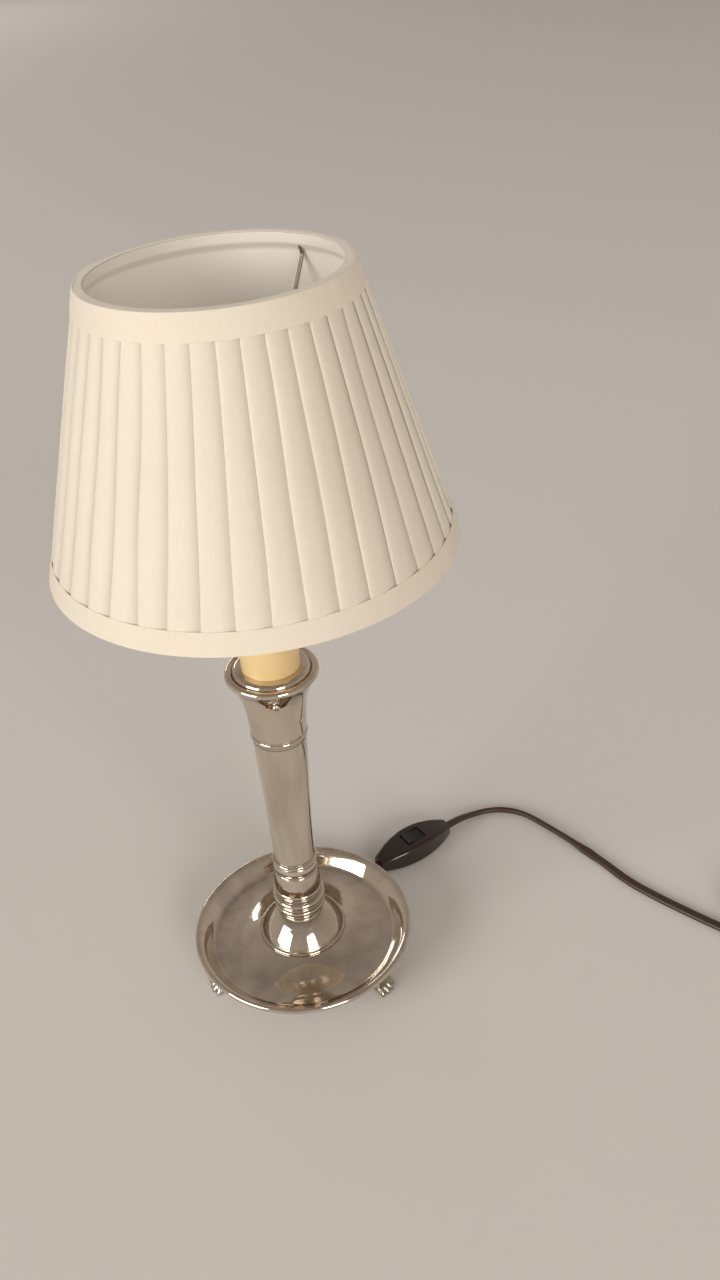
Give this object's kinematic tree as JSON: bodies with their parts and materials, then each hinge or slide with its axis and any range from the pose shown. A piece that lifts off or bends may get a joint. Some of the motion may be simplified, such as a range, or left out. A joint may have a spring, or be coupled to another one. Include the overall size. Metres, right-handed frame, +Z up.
{
  "type": "table lamp",
  "caption": "Candlestick table lamp: round dish base on paw feet, turned stem, candle tube, pleated clip-on shade, and a flex with an inline rocker switch and a two-pin plug.",
  "frame": {"origin": "on the table under the middle of the stem, at the base's centre", "axes": "+Z up along the stem, +Y away from the picture's viewer, +X to the right; the flex leaves towards +X"},
  "size_m": [0.5271, 0.2192, 0.4514],
  "materials": {
    "silver_plate": "polished silver plate, slightly dulled by handling",
    "brass": "plain machined brass",
    "zinc_steel": "zinc-plated steel",
    "phenolic": "moulded, satin",
    "ivory_tube": "ivory, satin",
    "nickel": "nickel-plated, bright",
    "frosted_glass": "frosted inside, smooth outside",
    "lining_cloth": "white laminated lining",
    "cream_cloth": "finely woven, knife-pleated",
    "trim_cloth": "finely woven, plain folded band",
    "brassed_wire": "plated spring wire",
    "dark_pod": "moulded, glossy",
    "black_rocker": "moulded, glossy",
    "brown_flex": "soft sheath, half gloss",
    "tie_strap": "thin strap",
    "plug_moulding": "moulded, satin"
  },
  "bodies": {
    "root": {"base_dish": "silver_plate", "paw_feet": "silver_plate", "base_dome": "silver_plate", "stem_rings": "silver_plate", "stem_knop": "silver_plate", "stem_band": "silver_plate", "column": "silver_plate", "collar": "silver_plate", "nozzle_cup": "silver_plate", "neck_screw": "silver_plate", "candle_seat": "silver_plate", "tie_tube": "brass", "lower_nut": "brass", "upper_nut": "brass", "screw_shell": "brass", "centre_leaf": "brass", "terminal_screws": "brass", "switch_contacts": "brass", "clamp_plate": "zinc_steel", "grip_screws": "zinc_steel", "rocker_pin": "zinc_steel", "cord_grip": "phenolic", "grip_bar": "phenolic", "holder_body": "phenolic", "contact_disc": "phenolic", "candle_tube": "ivory_tube", "plug_pins": "nickel", "switch_base": "dark_pod", "switch_cover": "dark_pod", "cord_lamp_side": "brown_flex", "cord_table_side": "brown_flex", "cord_coil": "brown_flex", "cord_plug_side": "brown_flex", "inner_leads": "brown_flex", "coil_tie": "tie_strap", "plug_body": "plug_moulding", "plug_relief": "plug_moulding"},
    "bulb_seat": {"bulb_button": "brass"},
    "bulb": {"bulb_cap": "nickel", "bulb_glass": "frosted_glass"},
    "shade": {"shade_lining": "lining_cloth", "pleated_cover": "cream_cloth", "lower_trim": "trim_cloth", "upper_trim": "trim_cloth", "lower_ring": "brassed_wire", "upper_ring": "brassed_wire", "fitter_arms": "brassed_wire", "bulb_clip": "brassed_wire"},
    "rocker": {"switch_rocker": "black_rocker"}
  },
  "joints": [
    {"name": "bulb_rise", "type": "slide", "parent": "root", "child": "bulb_seat", "axis": [0, 0, 1], "range_m": [0, 0.011]},
    {"name": "bulb_turn", "type": "hinge", "parent": "bulb_seat", "child": "bulb", "pos_m": [0, 0, 0.31], "axis": [0, 0, 1], "range_deg": [0, 1080]},
    {"name": "shade_lift", "type": "slide", "parent": "bulb", "child": "shade", "axis": [0, 0, 1], "range_m": [0, 0.15]},
    {"name": "rocker_tilt", "type": "hinge", "parent": "root", "child": "rocker", "pos_m": [0.0853, 0.0759, 0.0126], "axis": [0.4679, -0.8838, 0], "range_deg": [0, 18]}
  ],
  "couplings": [
    {"joint": "bulb_rise", "follows": "bulb_turn", "m_per_rad": 0.00057757}
  ]
}
